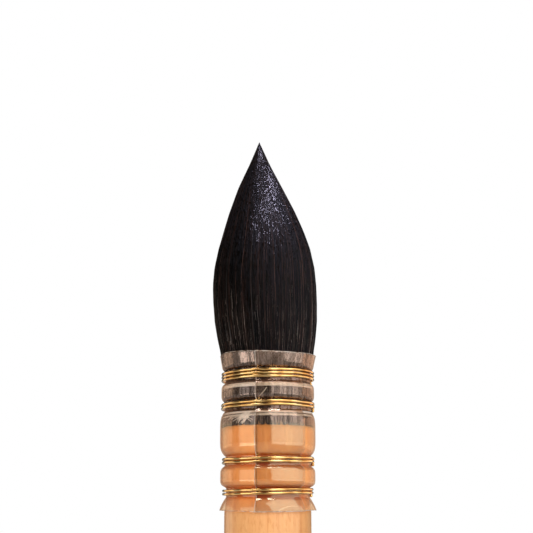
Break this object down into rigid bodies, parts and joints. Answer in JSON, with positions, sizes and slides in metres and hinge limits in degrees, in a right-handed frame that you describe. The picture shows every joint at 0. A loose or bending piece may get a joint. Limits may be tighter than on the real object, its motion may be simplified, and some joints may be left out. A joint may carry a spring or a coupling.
{
  "type": "calligraphy brush",
  "caption": "Pointed quill mop brush: soft dark hair in a clear rolled film sleeve bound with brass wire to a tapered wooden handle.",
  "frame": {"origin": "on the brush's axis at the end of the bare shank, just under the film sleeve's lower rim", "axes": "+Z along the brush's axis towards the point of the hair, the sleeve's seam faces -Y, the hair bends in the XZ plane"},
  "size_m": [0.0174, 0.0174, 0.1975],
  "materials": {
    "wood": "clear lacquered light wood with a fine upright grain",
    "film": "thin clear glossy film",
    "brass_wire": "bright drawn wire",
    "thread": "natural twisted thread",
    "glue": "amber glue",
    "hair": "soft near-black hair with grey and brown strands"
  },
  "bodies": {
    "brush": {"handle": "wood", "quill_sleeve": "film", "wire_winding_bottom": "brass_wire", "wire_winding_lower": "brass_wire", "wire_winding_upper": "brass_wire", "wire_winding_top": "brass_wire", "thread_tie_lower": "thread", "thread_tie_upper": "thread", "root_glue": "glue", "hair_root": "hair"},
    "tuft": {"hair_tuft": "hair"}
  },
  "joints": [
    {"name": "hair_bend", "type": "hinge", "parent": "brush", "child": "tuft", "pos_m": [0, 0, 0.0283], "axis": [0, 1, 0], "range_deg": [-35, 35], "stiffness_Nm_per_rad": 0.006}
  ]
}
